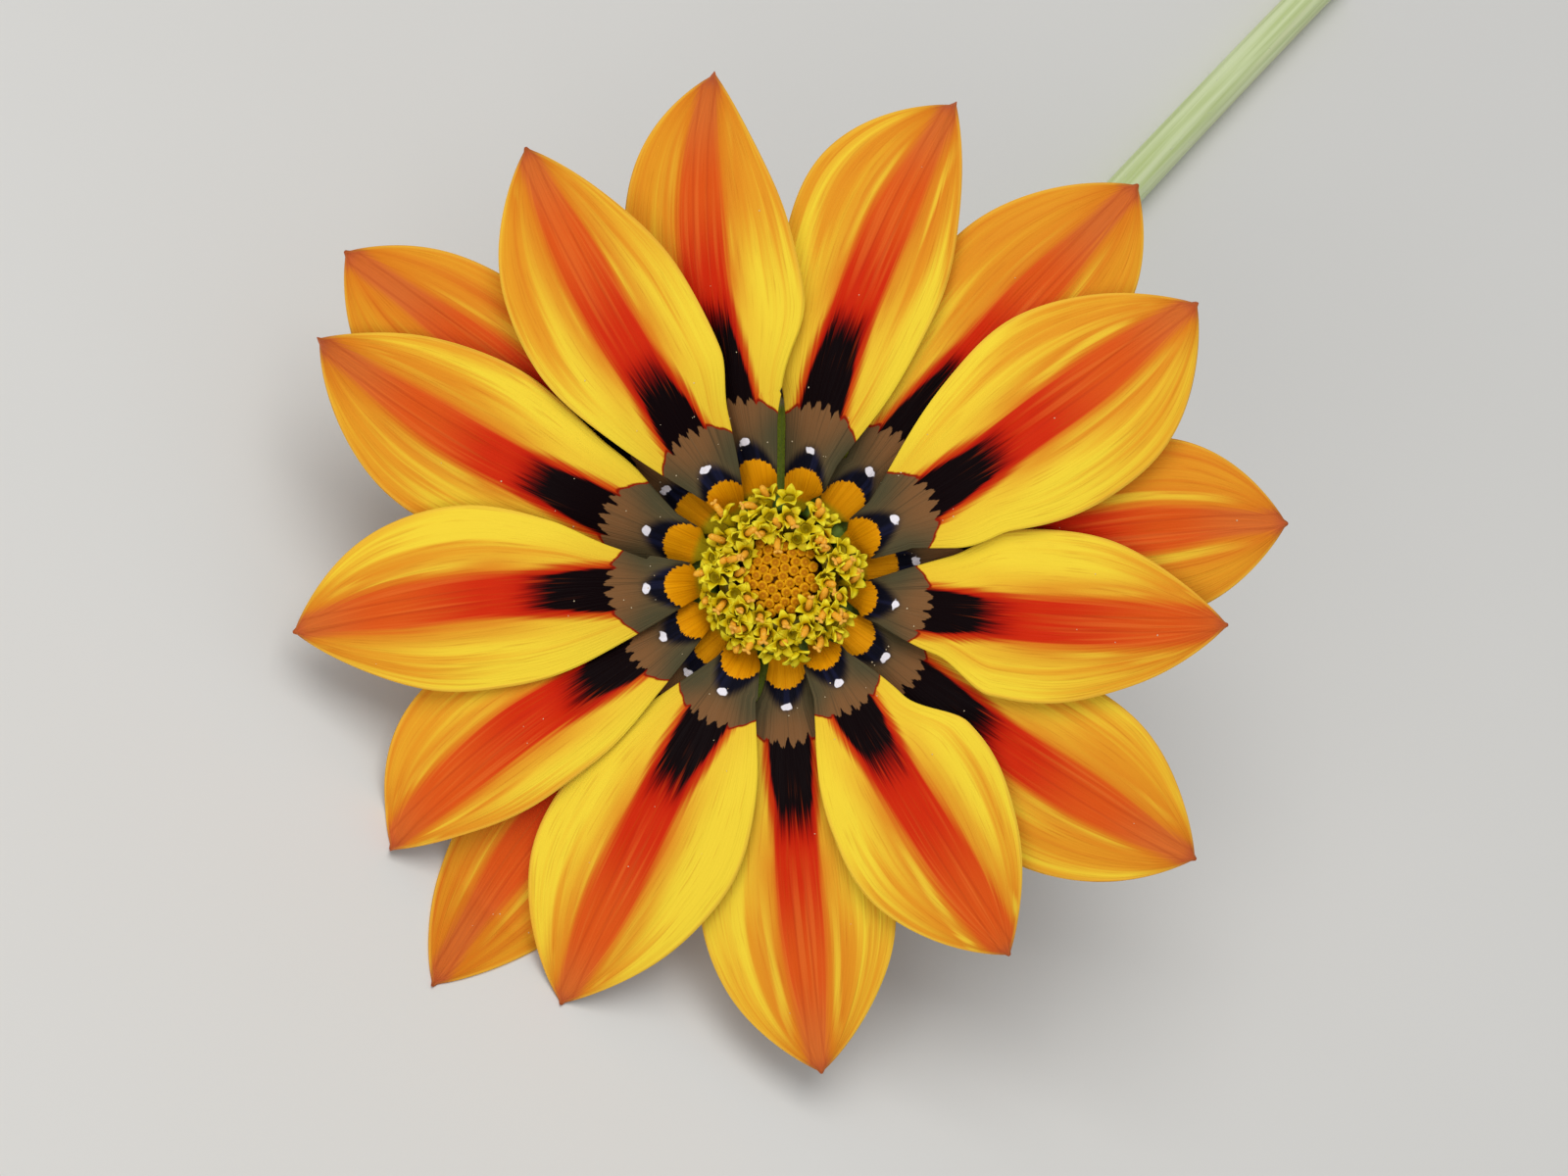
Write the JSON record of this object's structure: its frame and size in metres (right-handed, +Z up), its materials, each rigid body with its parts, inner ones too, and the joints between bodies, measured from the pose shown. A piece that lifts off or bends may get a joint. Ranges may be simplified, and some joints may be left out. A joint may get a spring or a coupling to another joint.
{
  "type": "picked gazania flower",
  "caption": "Picked gazania with orange and yellow striped rays round a domed yellow disc, a green cup and a long curved stem, lying face up on a surface.",
  "frame": {"origin": "on the surface that the flower lies on, under the middle of its box", "axes": "+Z up, +Y along the stem away from the head, and +X to the right seen from the open face"},
  "size_m": [0.0827, 0.1614, 0.049],
  "materials": {
    "ray": "matte",
    "bud": "matte",
    "floret": "matte",
    "cup": "matte",
    "stem": "matte"
  },
  "bodies": {
    "root": {"ray_01": "ray", "ray_02": "ray", "ray_03": "ray", "ray_04": "ray", "ray_05": "ray", "ray_06": "ray", "ray_07": "ray", "ray_08": "ray", "ray_09": "ray", "ray_10": "ray", "ray_11": "ray", "ray_12": "ray", "ray_13": "ray", "ray_14": "ray", "ray_15": "ray", "ray_16": "ray", "disc_buds": "bud", "open_florets": "floret", "involucre": "cup", "stem": "stem"}
  },
  "joints": []
}
